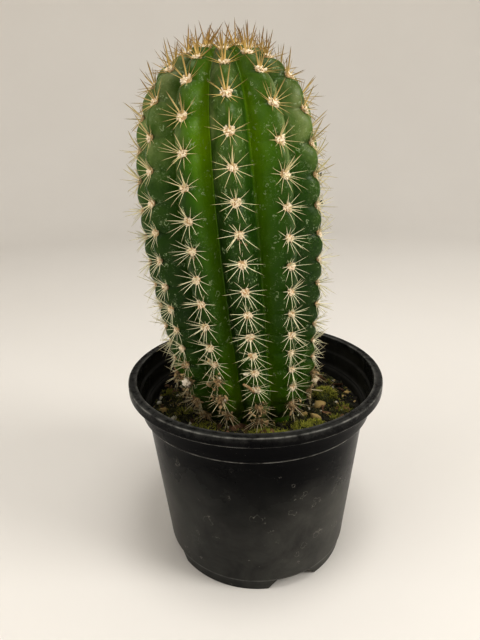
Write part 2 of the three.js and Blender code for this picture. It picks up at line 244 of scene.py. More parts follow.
class Shader:
    """A material's node tree, built by short calls."""

    def __init__(self, name):
        self.material = bpy.data.materials.new(name)
        self.material.use_nodes = True
        self.tree = self.material.node_tree
        self.surface = self.tree.nodes["Principled BSDF"]

    def add(self, kind, inputs=None, **settings):
        node = self.tree.nodes.new("ShaderNode" + kind)
        for key, value in settings.items():
            setattr(node, key, value)
        for key, value in (inputs or {}).items():
            self.feed(node.inputs[key], value)
        return node

    def feed(self, socket, value):
        if isinstance(value, bpy.types.NodeSocket):
            self.tree.links.new(value, socket)
        else:
            socket.default_value = value

    def finish(self, colour, roughness, relief=None, **others):
        """Sets the surface, with relief as height, strength and distance, and returns the material."""
        if relief:
            bump = self.add("Bump", dict(zip(("Height", "Strength", "Distance"), relief)))
            others["Normal"] = bump.outputs["Normal"]
        for key, value in {"Base Color": colour, "Roughness": roughness, **others}.items():
            self.feed(self.surface.inputs[key.replace("_", " ")], value)
        return self.material

    def place(self):
        return self.add("TexCoord").outputs["Object"]

    def marks(self, *names):
        return [self.add("Attribute", attribute_name=name).outputs["Fac"] for name in names]

    def noise(self, scale, detail=4, roughness=0.55, distortion=0):
        inputs = {"Scale": scale, "Detail": detail, "Roughness": roughness, "Distortion": distortion}
        return self.add("TexNoise", {**inputs, "Vector": self.place()}).outputs["Fac"]

    def cells(self, scale, feature="F1"):
        return self.add("TexVoronoi", {"Scale": scale, "Vector": self.place()}, feature=feature).outputs["Distance"]

    def ramp(self, value, *stops):
        """Greys or colours by a value, through stops of position and level."""
        node = self.add("ValToRGB", {"Fac": value})
        elements = node.color_ramp.elements
        while len(elements) < len(stops):
            elements.new(0.5)
        for element, (position, level) in zip(elements, stops):
            element.position = position
            element.color = linear(level) if isinstance(level, tuple) else (level, level, level, 1)
        return node.outputs["Color"]

    def mix(self, factor, first, second, blend="MIX"):
        node = self.add("Mix", {0: factor, 6: linear(first), 7: linear(second)}, data_type="RGBA", blend_type=blend)
        return node.outputs[2]

    def layers(self, colour, *coats):
        """Colours laid over a first one, each given as a mask and a colour."""
        for mask, coat in coats:
            colour = self.mix(mask, colour, coat)
        return colour

    def math(self, operation, *values):
        return self.add("Math", dict(enumerate(values)), operation=operation).outputs[0]

    def times(self, first, *others):
        for other in others:
            first = self.math("MULTIPLY", first, other)
        return first

    def most(self, first, second):
        return self.math("MAXIMUM", first, second)

    def curls(self, scale, share, width, breaks=2.8):
        """Short curved marks: parts of rings round the points of a cell pattern, in a share of its cells."""
        drift = self.add("TexNoise", {"Scale": scale * 3, "Detail": 2, "Vector": self.place()}).outputs["Color"]
        away = self.add("VectorMath", {0: drift, 1: (0.8 / scale,) * 3, 2: self.place()}, operation="MULTIPLY_ADD")
        cell = self.add("TexVoronoi", {"Scale": scale, "Vector": away.outputs[0]})
        chance = self.add("SeparateColor", {"Color": cell.outputs["Color"]}).outputs[0]
        off_ring = self.math("ABSOLUTE", self.math("SUBTRACT", cell.outputs["Distance"], 0.2))
        chosen = self.ramp(chance, (0.99 - share, 0), (1 - share, 1))
        part = self.ramp(self.noise(scale * breaks, 2), (0.5, 0), (0.56, 1))
        return self.times(self.ramp(off_ring, (0, 1), (width, 0)), chosen, part)


STEM_TONE = [  # how far the light falls off along the stem, from the soil to the tip
    (0.06, (0.58, 0.6, 0.5, 1)), (0.185, (0.27, 0.32, 0.23, 1)), (0.32, (0.165, 0.21, 0.13, 1)),
    (0.5, (0.2, 0.255, 0.155, 1)), (0.6, (0.27, 0.33, 0.21, 1)), (0.645, (0.39, 0.43, 0.31, 1)),
    (0.69, (0.53, 0.53, 0.44, 1)), (0.8, (0.43, 0.39, 0.38, 1)),
]


def stem_material():
    """Green skin: a pale bloom, partly a painted highlight; yellow-green valleys, partly painted light; painted shade
    in folds and on some flanks; a painted sheen, partly waxy bloom; painted light falling off along the stem; fine
    scars and soil low down.
    """
    s = Shader("cactus_skin")
    flank, fold, age, valley_yellow_and_light, shade, sheen_and_bloom = s.marks("flank", "fold", "age", "valley_yellow_and_light", "shade", "sheen_and_bloom")
    spread = s.math("MULTIPLY_ADD", s.noise(60, 3), 0.3, s.math("SUBTRACT", flank, 0.15))
    # painted shade in the folds between the tubercles, near the crests
    fold_shade = s.times(s.ramp(fold, (0, 0.8), (0.55, 0)), s.ramp(flank, (0, 1), (0.7, 0)))
    # a pale bloom, partly a painted highlight on the bulges of the tubercles
    bloom_and_highlight = s.times(s.ramp(s.noise(45, 4, 0.6, 0.6), (0.4, 0), (0.68, 0.42)),
                    s.ramp(flank, (0, 0.1), (0.12, 0.7), (0.5, 0.6), (0.8, 0)), s.ramp(fold, (0.3, 0.1), (0.9, 1)))
    # a painted sheen on the upper shoulders and flanks, partly a waxy bloom
    sheen_and_bloom_mask = s.times(s.ramp(age, (0.42, 0.06), (0.58, 0.2), (0.68, 0.8), (0.9, 0.7)),
                   s.ramp(s.noise(62, 5, 0.65, 0.5), (0.38, 0.12), (0.6, 1)), sheen_and_bloom)
    # yellow-green valleys, partly painted light that lifts the valleys' shade, scaled with height
    valley_yellow_and_light = s.times(valley_yellow_and_light, s.ramp(age, (0.35, 0.85), (0.66, 1), (0.78, 0.62)))
    bright = s.layers(s.ramp(valley_yellow_and_light, (0, (82, 136, 8)), (0.5, (116, 170, 6)), (1, (172, 218, 8))),
                      (s.ramp(s.noise(110, 4, 0.6), (0.4, 0), (0.7, 0.3)), (80, 136, 8)))
    green = s.layers(
        s.ramp(spread, (0, (88, 134, 26)), (0.3, (71, 120, 12)), (0.7, (66, 115, 10)), (1, (84, 134, 12))),
        (s.ramp(s.noise(240, 5, 0.65), (0.35, 0), (0.7, 0.5)), (40, 82, 14)),
        (s.ramp(s.noise(700, 4, 0.7), (0.45, 0), (0.75, 0.3)), (120, 162, 48)),
        # painted shade in the folds and on some flanks, a pale bloom with a painted highlight, and a painted sheen
        (s.most(fold_shade, shade), (22, 44, 9)), (bloom_and_highlight, (146, 174, 66)), (sheen_and_bloom_mask, (190, 206, 146)),
        (s.ramp(valley_yellow_and_light, (0, 0), (0.6, 1)), bright))
    crackle = s.times(s.ramp(s.noise(1000, 4, 0.7, 0.8), (0.56, 0), (0.64, 1)),
                      s.ramp(s.noise(150, 4, 0.6), (0.46, 0), (0.58, 0.7)), s.ramp(flank, (0.3, 1), (0.75, 0.25)))
    scars = s.most(crackle, s.times(s.most(s.curls(140, 0.6, 0.055), s.curls(220, 0.62, 0.09)), 0.95))
    soiled = s.times(s.ramp(age, (0.03, 0.8), (0.12, 0)), s.ramp(s.noise(180, 4), (0.4, 0), (0.6, 1)))
    green = s.layers(
        s.mix(1, green, s.ramp(age, *STEM_TONE), "MULTIPLY"), (scars, (156, 172, 130)),
        (s.ramp(age, (0, 0), (0.88, 0), (1, 0.4)), (84, 118, 24)), (soiled, (54, 48, 20)))
    height = s.math("ADD", s.noise(900, 3), s.times(s.noise(160, 4), 1.5))
    height = s.math("MULTIPLY_ADD", scars, 0.6, height)
    rough = s.ramp(s.noise(90, 5), (0.3, 0.25), (0.7, 0.4))
    return s.finish(green, rough, (height, 0.3, 0.0004), Subsurface_Weight=0.06,
                    Subsurface_Radius=(0.0015, 0.003, 0.0004), Specular_IOR_Level=0.15)


def spine_material():
    """Horn: cream on the lower plant, golden with brown tips at the crown."""
    s = Shader("spine_horn")
    along, age, vary, dirt = s.marks("along", "age", "vary", "dirt")
    low = s.ramp(along, (0, (234, 218, 176)), (0.25, (244, 240, 208)), (0.75, (232, 226, 188)), (1, (160, 138, 90)))
    middle = s.ramp(along, (0, (238, 214, 158)), (0.3, (220, 200, 138)), (0.75, (184, 162, 92)), (1, (106, 80, 42)))
    high = s.ramp(along, (0, (244, 220, 154)), (0.22, (220, 184, 96)), (0.5, (184, 146, 62)),
                  (0.8, (128, 94, 38)), (1, (70, 48, 20)))
    dark = s.times(s.ramp(age, (0.64, 0), (0.8, 1)), s.ramp(vary, (0.3, 0), (0.8, 0.5)),
                   s.ramp(along, (0.05, 0.2), (0.3, 1)))
    grain = s.noise(1800, 2)
    colour = s.layers(
        low, (s.ramp(age, (0.5, 0), (0.76, 1)), middle), (s.ramp(age, (0.66, 0), (0.88, 1)), high),
        (s.ramp(vary, (0, 0), (0.75, 0.06), (1, 0.5)), (132, 96, 48)), (dark, (94, 68, 26)),
        (s.times(dirt, 0.5), (168, 142, 96)), (s.ramp(grain, (0.4, 0), (0.7, 0.15)), (160, 130, 80)))
    return s.finish(colour, s.ramp(grain, (0.3, 0.34), (0.7, 0.5)))


def wool_material():
    """Felt: pale tufts over a tan cushion, soiled low down."""
    s = Shader("areole_felt")
    vary, tuft, dirt = s.marks("vary", "tuft", "dirt")
    pale = s.mix(s.noise(900, 4, 0.7), (255, 249, 230), (246, 226, 194))
    base = s.mix(s.noise(900, 4, 0.7), (232, 204, 160), (168, 130, 88))
    dirty = s.mix(s.noise(700, 4, 0.7), (220, 186, 130), (132, 100, 58))
    colour = s.layers(
        base, (tuft, pale), (s.ramp(vary, (0.7, 0), (1, 0.35)), (206, 160, 112)), (s.times(dirt, 0.85), dirty))
    rough = s.ramp(s.noise(600, 2), (0.3, 0.8), (0.7, 0.95))
    return s.finish(colour, rough, Sheen_Weight=0.2, Sheen_Roughness=0.5)


def pot_material():
    """Black plastic: painted floor reflection low down and at the sides, dust, specks, scuffs, painted edge highlights
    with wear.
    """
    s = Shader("pot_plastic")
    inside, edge = s.marks("inside", "edge")
    parts = s.add("SeparateXYZ", {"Vector": s.place()}).outputs
    height = s.times(parts["Z"], 1000 / POT_HEIGHT)
    turned = s.math("MULTIPLY_ADD", parts["X"], 500 / RIM_RADIUS, 0.5)
    # painted reflection of the floor on the lower body, with a wavy upper edge; the plastic is rougher there too
    wavy = s.math("MULTIPLY_ADD", s.noise(13, 3, 0.5, 0.3), 0.5, s.math("SUBTRACT", height, 0.25))
    floor_reflection = s.times(s.ramp(wavy, (0.1, 1), (0.44, 0.9), (0.66, 0.1), (0.78, 0)),
                   s.ramp(s.noise(38, 6, 0.65, 0.4), (0.25, 0.25), (0.7, 1)))
    # the painted reflection is lighter towards the left and right sides
    reflection_grey = s.mix(s.ramp(turned, (0.1, 1), (0.24, 0), (0.5, 0.1), (0.76, 0.8), (0.9, 1)), (62, 62, 59), (86, 85, 80))
    dust = s.times(s.ramp(s.noise(90, 6, 0.75), (0.55, 0), (0.85, 0.4)), s.ramp(height, (0.3, 1), (0.8, 0.1)))
    specks = s.times(s.ramp(s.cells(380), (0, 1), (0.07, 0)), s.ramp(s.noise(40, 2), (0.46, 0), (0.6, 0.7)))
    cracks = s.times(s.ramp(s.cells(330, "DISTANCE_TO_EDGE"), (0, 1), (0.03, 0)),
                     s.ramp(s.noise(34, 4, 0.7), (0.64, 0), (0.74, 0.4)))
    arcs = s.times(s.most(s.curls(70, 0.7, 0.016, 1.1), s.curls(110, 0.5, 0.022, 1.1)), 0.55)
    scuff = s.most(s.times(s.most(cracks, arcs), s.ramp(height, (0.7, 1), (0.8, 0))), specks)
    worn = s.times(s.ramp(height, (0.955, 0), (0.99, 0.4), (1, 0.8)),
                   s.ramp(s.noise(150, 6, 0.75), (0.4, 0.05), (0.7, 0.7)))
    inside = s.times(inside, s.ramp(s.noise(30, 5, 0.7), (0.3, 0.3), (0.7, 1)))
    # painted highlight lines along the rounded edges, with some wear
    highlight_and_wear = s.times(edge, s.ramp(s.noise(110, 5, 0.7), (0.42, 0.12), (0.64, 0.95)))
    colour = s.layers(
        (1, 1, 2), (floor_reflection, reflection_grey), (dust, (50, 49, 47)), (scuff, (138, 134, 126)), (worn, (84, 84, 81)),
        (inside, (50, 49, 45)), (highlight_and_wear, (150, 149, 143)))
    rough = s.ramp(s.noise(55, 6, 0.65), (0.3, 0.17), (0.7, 0.3))
    rough = s.mix(s.most(worn, s.times(floor_reflection, 0.5)), rough, (0.6, 0.6, 0.6, 1))
    relief = s.math("ADD", s.noise(1100, 2), s.times(scuff, -2))
    return s.finish(colour, rough, (relief, 0.15, 0.0002), Specular_IOR_Level=0.05)


def soil_material(name, dark, light, scale):
    s = Shader(name)
    grain = s.noise(scale, 6, 0.75)
    green = s.ramp(s.noise(70, 5, 0.7, 0.5), (0.46, 0), (0.62, 0.8))
    colour = s.mix(green, s.ramp(grain, (0.3, dark), (0.72, light)), (70, 74, 18))
    rough = s.ramp(grain, (0.2, 0.75), (0.8, 0.98))
    return s.finish(colour, rough, (grain, 0.8, 0.0008))


def grit_material(name, dark, light, scale, roughness=(0.7, 0.9)):
    s = Shader(name)
    grain = s.noise(scale, 5, 0.7)
    colour = s.mix(s.ramp(*s.marks("vary"), (0.4, 0), (1, 0.7)), s.mix(grain, dark, light), dark)
    rough = s.ramp(grain, (0.3, roughness[0]), (0.7, roughness[1]))
    return s.finish(colour, rough, (grain, 0.6, 0.0004))


# -------- the stem

SWELL = 0.165  # of the crest between two areoles, as a share of their spacing
DIMPLE_DEPTH, DIMPLE_WIDTH = 0.55, 1.9  # of the dip that an areole sits in
SEAM_DEPTH, SEAM_WIDTH = 0.22, 0.55  # of the crease along the crest below an areole
WANDER = 0.35  # slow unevenness of the skin
CREST_SOFTNESS = 0.05


def spline(points, steps=3200):
    """The smooth curve through points that the solids use, as dense points with their distance along it."""
    points = np.asarray(points, float)
    last = len(points) - 1
    t = np.linspace(0, last, steps)
    low = np.minimum(t.astype(int), last - 1)
    w = (t - low)[:, None]
    p0, p1 = points[np.maximum(low - 1, 0)], points[low]
    p2, p3 = points[low + 1], points[np.minimum(low + 2, last)]
    v0, v1 = (p2 - p0) / 2, (p3 - p1) / 2
    curve = (2 * p1 - 2 * p2 + v0 + v1) * w**3 + (-3 * p1 + 3 * p2 - 2 * v0 - v1) * w**2 + v0 * w + p1
    run = np.concatenate([[0], np.cumsum(np.linalg.norm(np.diff(curve, axis=0), axis=1))])
    return curve[:, 0], curve[:, 1], run


OUT_R, OUT_Z, OUT_RUN = spline(OUTLINE)
RUN_END = OUT_RUN[-1]


def outline_at(run):
    """Radius and height at distances along the outline."""
    run = np.clip(run, 0, RUN_END)
    return np.interp(run, OUT_RUN, OUT_R), np.interp(run, OUT_RUN, OUT_Z)


def table(rows, x, key=0, value=1):
    return np.interp(x, [row[key] for row in rows], [row[value] for row in rows])


def run_of(number):
    """Distance along the outline of an areole number."""
    return table(AREOLE_STEPS, number)


def number_of(run):
    return table(AREOLE_STEPS, run, 1, 0)


def stem_axis(z):
    """Middle of the stem at a height: it leans to the front left and straightens upwards."""
    t = (z - 100) / 190
    return np.array([-3.6 - 17.1 * t + 7.84 * t * t, 2 - 13.9 * t])


def crest_azimuth(u, z):
    """Azimuth in degrees at rib coordinate u, where whole numbers are crests."""
    turns = np.floor(u / RIBS)
    azimuth = np.interp(u - turns * RIBS, np.arange(RIBS + 1), CREST + [CREST[0] + 360])
    return azimuth + 360 * turns + TWIST * (z - TWIST_CENTRE) / 100


def smooth(x, low, high):
    t = np.clip((x - low) / (high - low), 0, 1)
    return t * t * (3 - 2 * t)


def skin(u, run, swell=True):
    """Points of the skin at rib coordinates and distances along the outline, with the marks its material reads."""
    u, run = np.broadcast_arrays(np.asarray(u, float), np.asarray(run, float))
    r, z = outline_at(run)
    dr, dz = (ahead - behind for ahead, behind in zip(outline_at(run + 1), outline_at(run - 1)))
    size = np.hypot(dr, dz)
    rib = np.round(u)
    across = np.abs(u - rib) * 2
    low, high = CREST_SOFTNESS**1.5, (1 + CREST_SOFTNESS**2) ** 0.75
    crest = 1 - ((across**2 + CREST_SOFTNESS**2) ** 0.75 - low) / (high - low)
    depth = np.minimum(table(VALLEY_DEPTH, z), 0.4 * r)
    number = number_of(run)
    row = number - np.array(SHIFT)[rib.astype(int) % RIBS]
    spacing = run_of(number + 0.5) - run_of(number - 0.5)
    lift, fold = np.zeros_like(r), np.ones_like(r)
    if swell:
        live = smooth(number, -0.6, 0.3) * (1 - smooth(number, 16.8, 17.6))
        phase = (row - 0.07 + 0.16 * across) % 1
        fold = np.abs(np.sin(pi * phase)) ** 0.75
        reach = np.clip(1 - across**1.4, 0, 1) ** 1.1
        lift = SWELL * spacing * (fold - 0.12) * reach * live
        above = (row - np.round(row)) * spacing
        beside = across * pi * r / RIBS
        lift -= DIMPLE_DEPTH * live * np.exp(-(above**2 + beside**2) / (2 * DIMPLE_WIDTH**2))
        seam = np.exp(-((beside / SEAM_WIDTH) ** 2)) * smooth(phase, 0.35, 0.6) * (1 - smooth(phase, 0.9, 0.99))
        lift -= SEAM_DEPTH * seam * live
        wave = np.sin(0.061 * run + 1.7 * rib) * np.sin(0.113 * run - 2.3 * rib + across)
        lift += WANDER * wave * smooth(number, 0, 1) * (1 - smooth(number, 15, 17))
    radius = np.maximum(r - depth * (1 - crest) + lift * dz / size, 0)
    return ring(stem_axis(z) + radius * compass(crest_azimuth(u, z)), z - lift * dr / size), across, fold


# In the order of the tables: how far the skin is yellow-green, partly by painted light that lifts the valleys' shade;
# how far it is darker by painted shade; and how far it is pale by a painted sheen, partly a waxy bloom. FRONT goes by
# rib coordinate from the front rib's crest. PLAIN, at the sides and back, goes by the distance from a valley, in ribs.
FRONT = {
    "valley_yellow_and_light": [
        (-1.9, 0), (-1.58, 0.25), (-1.5, 0.35), (-1.42, 0.2), (-1.2, 0), (-0.98, 0), (-0.9, 0.3), (-0.8, 0.6),
        (-0.68, 0.8), (-0.56, 1), (-0.5, 1), (-0.47, 0.12), (-0.4, 0), (0.4, 0), (0.45, 0.5), (0.49, 1),
        (0.58, 0.9), (0.68, 0.65), (0.84, 0.45), (1, 0), (1.3, 0), (1.5, 0.25), (1.7, 0),
    ],
    "shade": [
        (-1.7, 0), (-1.5, 0.5), (-1.3, 0.55), (-1.1, 0.4), (-0.95, 0), (-0.5, 0), (-0.47, 0.55), (-0.34, 0.5),
        (-0.2, 0), (0.15, 0), (0.32, 0.22), (0.46, 0.22), (0.49, 0), (1.35, 0), (1.5, 0.3), (1.65, 0),
    ],
    "sheen_and_bloom": [
        (-1.95, 0.9), (-1.8, 0.9), (-1.5, 0.4), (-1.3, 0.6), (-1.15, 0.7), (-1, 0.2), (-0.9, 0.3), (-0.8, 0),
        (-0.5, 0), (-0.44, 0.7), (-0.25, 0.5), (-0.1, 0.2), (0.1, 0.3), (0.3, 0.1), (0.5, 0), (0.8, 0.2),
        (1, 0.4), (1.12, 0.9), (1.4, 1), (1.5, 0.4), (1.65, 0.8),
    ],
}
FRONT_REACH = (-1.95, 1.65)
PLAIN = {
    "valley_yellow_and_light": [(0, 0.5), (0.06, 0.4), (0.28, 0)],
    "shade": [(0, 0.25), (0.2, 0)],
    "sheen_and_bloom": [(0, 0), (0.12, 0.5), (0.3, 0.8), (0.5, 0.3)],
}


def stripes(name, u):
    """The level of one of these marks by rib coordinate."""
    u = (u + RIBS / 2) % RIBS - RIBS / 2
    away = np.abs(u - np.floor(u) - 0.5)
    front = (u > FRONT_REACH[0]) & (u < FRONT_REACH[1])
    return np.where(front, table(FRONT[name], u), table(PLAIN[name], away))


def build_stem():
    """The ribbed skin as a fine grid, closer along the crests."""
    share = np.linspace(-1, 1, 40, endpoint=False)
    share = np.sign(share) * np.abs(share) ** 1.25 * 0.5
    u = np.concatenate([rib + share for rib in range(RIBS)])
    runs = np.concatenate([np.linspace(4, 60, 12, endpoint=False), np.linspace(60, RUN_END - 1.5, 340)])
    place, across, fold = skin(u[None, :], runs[:, None])
    ends = skin([0, 0], [0, RUN_END], swell=False)[0]

    def spread(values, foot, tip):
        return np.concatenate([[foot], np.broadcast_to(values, across.shape).ravel(), [tip]])

    age = np.clip(number_of(runs) / TIP_NUMBER, 0, 1)[:, None]
    marks = {"flank": spread(across, 1, 1), "fold": spread(fold, 1, 1), "age": spread(age, 0, 1)}
    marks.update({name: spread(stripes(name, u), 0, 0) for name in FRONT})
    vertices, faces = tube(ends[0], place, ends[1])
    make_object("cactus_stem", vertices, faces, stem_material(), "cactus_flesh", "cactus", marks=marks)


# -------- areoles, spines and what they catch

LOWEST_AREOLE = 98  # height under which the soil hides them
SOILED_BELOW = [124, 119, 127, 116, 124, 114, 122, 128, 117, 124, 140, 141]  # heights by rib
AREOLE_TILT = 12  # degrees by which an areole faces upwards
PAD_RADIUS = 2.28
PAD_SHAPE = (0.95, 0.88, 0.42)  # across, up and out, in radii
TUFTS = 26  # felt tufts on a pad
SPINE_FLOOR = 96.5  # no spine ends lower
SCRAP_FLOOR = 96
STEEPEST = 87  # degrees between a spine and the skin

# The radial spines of one areole: clock angle from straight up the rib, length, and lift off the skin in degrees.
RADIALS = [
    (14, 6.5, 40), (50, 9, 32), (76, 10.4, 27), (100, 10.6, 24), (126, 10.9, 23), (152, 10.2, 24), (181, 9.2, 24),
    (209, 10.4, 23), (235, 10.9, 23), (261, 10.6, 25), (286, 10.2, 28), (312, 8.8, 33), (345, 6.2, 42),
]


class Areole:
    """Its place, its ways out, up the rib and across it, and its age, from 0 at the soil to 1 at the tip."""

    def __init__(self, rib, number):
        self.run = run = run_of(number)
        self.rib, self.age = rib, number / TIP_NUMBER
        self.place = skin(rib, run)[0]
        self.dirt = float(smooth(SOILED_BELOW[rib] - self.place[2], -2, 12))
        angle = radians(crest_azimuth(rib, self.place[2]))
        self.across = np.array([cos(angle), sin(angle), 0])
        up = unit(skin(rib, run + 3, swell=False)[0] - skin(rib, run - 3, swell=False)[0])
        out = unit(np.cross(self.across, up))
        tilt = radians(AREOLE_TILT) * (1 - smooth(self.age, 0.75, 0.95))
        self.out = out * cos(tilt) + up * sin(tilt)
        self.up = up * cos(tilt) - out * sin(tilt)

    def way(self, clock):
        """The way along the skin at a clock angle from straight up the rib."""
        return self.up * cos(radians(clock)) + self.across * sin(radians(clock))

    def near(self, clock, reach, height):
        """A point by clock angle, distance along the skin and height above it."""
        return self.place + self.way(clock) * reach + self.out * height


AREOLES = [Areole(rib, row + SHIFT[rib]) for rib in range(RIBS) for row in range(LAST_ROW + 1)]
AREOLES = [areole for areole in AREOLES if areole.run <= RUN_END - 3.5 and areole.place[2] >= LOWEST_AREOLE]


def areole_at(rib, height):
    """The areole of a rib that is nearest to a height."""
    return min((a for a in AREOLES if a.rib == rib), key=lambda a: abs(a.place[2] - height))


def build_pads():
    """The felted pads: a low cushion in each areole, felt tufts crossed over it like short bars, and stray fibres."""
    rng = np.random.default_rng(11)
    draw = rng.uniform
    pads, fibres = Bits(), Strands()
    ball, faces = ICO[2]
    for areole in AREOLES:
        age, out = areole.age, areole.out
        size = (PAD_RADIUS + 0.2 * smooth(age, 0.6, 0.8)) * (1 - 0.5 * smooth(age, 0.9, 0.99)) * draw(0.94, 1.1)
        vary = rng.random()
        common = {"age": age, "dirt": areole.dirt}
        cushion = ball * PAD_SHAPE * size @ np.stack([areole.across, areole.up, out])
        pads.add(areole.place + out * 0.1 + cushion, faces, vary=vary, tuft=0, **common)
        for _ in range(TUFTS):
            clock = 180 + draw(-160, 160)
            reach = size * sqrt(draw(0, 0.85))
            thick = draw(0.27, 0.42) * size / 2.45
            way = unit(areole.way(clock + rng.normal(0, 28)) + out * draw(0.1, 0.9))
            wave = uneven(rng, ball, 0.16)
            side = unit(np.cross(way, out))
            stretch = [thick, thick, thick * draw(1.8, 2.8)]
            bar = ball * wave * stretch @ np.stack([side, np.cross(way, side), way])
            dome = size * PAD_SHAPE[2] * sqrt(max(0.05, 1 - (reach / size) ** 2))
            place = areole.near(clock, reach, dome + thick * 0.5)
            shade = min(1, max(0, vary * 0.7 + rng.normal(0, 0.22)))
            pads.add(place + bar, faces, vary=shade, tuft=draw(0.7, 1), **common)
            for _ in range(3):
                stray = unit(way + rng.normal(size=3) * 0.5 + out * 0.3)
                root = place + stray * thick
                fibres.add(root, root + stray * draw(0.4, 0.95), 0.055, STRAIGHT, vary=shade, tuft=1, **common)
    felt = wool_material()
    pads.make("areole_pads", felt, "areole_wool")
    fibres.make("areole_fibres", felt, "areole_wool")


def build_spines():
    """A ring of radial spines and a few centrals in each areole. At the crown they are longer, steeper and stronger."""
    rng = np.random.default_rng(5)
    draw = rng.uniform
    spines = Strands()

    def grow(areole, clock, length, lift, radius, vary, root_reach):
        lift = radians(min(lift, STEEPEST))
        root = areole.near(clock, root_reach, 0.45)
        tip = root + areole.near(clock, cos(lift) * length, sin(lift) * length) - areole.place
        tip[2] = max(tip[2], SPINE_FLOOR)
        bow = areole.out * rng.normal(0.15, 0.3) + areole.across * rng.normal(0, 0.2)
        bow = bow * (1 - 0.75 * smooth(areole.age, 0.6, 0.8)) * min(1, length / 9)
        spines.add(root, tip, radius, bow, age=areole.age, vary=vary, dirt=areole.dirt)

    for areole in AREOLES:
        age = areole.age
        upper, crown, tipward = smooth(age, 0.5, 0.75), smooth(age, 0.72, 0.95), smooth(age, 0.9, 0.97)
        turn = rng.normal(0, 7)
        scale = (1 - 0.55 * tipward) * draw(0.93, 1.05)
        apex_start = 0.9 - 0.03 * (2 < areole.rib < 10)
        apex = smooth(age, apex_start, apex_start + 0.03)
        shorter = 1 - 0.12 * smooth(age, 0.77, 0.87)
        for clock, length, lift in RADIALS:
            if rng.random() < 0.06 + 0.38 * crown + 0.4 * apex:
                continue
            below = sqrt((1 - cos(radians(clock))) / 2)
            length = length * (1 + 0.12 * upper - 0.28 * upper * below - 0.14 * (1 - upper) * (1 - below))
            length = (length + 7.6 * crown * (1 - below)) * shorter * scale * (1 - 0.45 * apex) * draw(0.84, 1.1)
            lift = lift + rng.normal(0, 5) + (8 + 12 * (1 - below)) * crown
            radius = draw(0.145, 0.2) + 0.17 * crown * (1 - below) * (1 - 0.5 * apex)
            grow(areole, clock + turn + rng.normal(0, 5), length, lift, radius, rng.random() * 0.8, draw(1.2, 2))
        for _ in range(3 + int(rng.random() < 0.4 * (1 - upper)) - int(round(upper)) - int(round(apex))):
            length = scale * draw(8.6, 12)
            clock, lift, radius = draw(0, 360), draw(38, 76), draw(0.2, 0.27)
            grow(areole, clock, length, lift, radius, 0.2 + 0.6 * rng.random(), 0.6)
        if upper > 0.3 and tipward < 0.9:
            strong = 1 if apex > 0.5 else int(round(1.8 + 1.5 * crown - rng.random()))
            for n in range(strong):
                clock = (n - (strong - 1) / 2) * 40 + rng.normal(0, 10)
                length = draw(12.4, 15.2) * (0.84 + 0.16 * crown) * shorter
                length = length * (1 - 0.4 * tipward) * (1 - 0.4 * apex)
                lift, radius = draw(44, 82), draw(0.38, 0.47)
                grow(areole, clock, length, lift, radius, draw(0.2, 0.9), 0.8)
    spines.make("spines", spine_material(), "spines", sides=6, rings=5, taper=0.52)


# Rib, height, clock angle and distance from the areole of brown scabs, dark specks and pebbles. The pebbles go on
# with height above the skin, radius (drawn if None), stretch, tint and level of detail.
SCABS = [
    (11, 258, 5, 3.4), (11, 232, 0, 3.4), (11, 206, 170, 3.6), (0, 216, 175, 4.2), (11, 158, 185, 3.6),
    (2, 218, 15, 4.4), (7, 205, 0, 3.4),
]
SPECKS = [(2, 217, 70, 5), (2, 228, 96, 4.5), (5, 180, 90, 5), (8, 150, 270, 4)]
PEBBLES = [
    (10, 121, 60, 1.2, 3.8, 2.5, (1, 1.3, 0.8), 0, 3), (0, 134, 268, 4.6, 1.2, 1.1, (1.5, 0.9, 0.8), 0, 3),
    (2, 116, 200, 3, 2.2, None, (1.4, 1, 0.4), 1, 2), (2, 116, 170, 4.6, 2.2, None, (1.4, 1, 0.4), 1, 2),
    (2, 116, 225, 5.2, 2.2, None, (1.4, 1, 0.4), 1, 2), (2, 116, 150, 6.4, 2.2, None, (1.4, 1, 0.4), 1, 2),
    (11, 129, 40, 3.4, 1.5, 0.8, (1.2, 0.9, 0.8), 0.1, 2), (11, 121, 80, 3, 1.5, 0.9, (1.2, 0.9, 0.8), 0.1, 2),
]


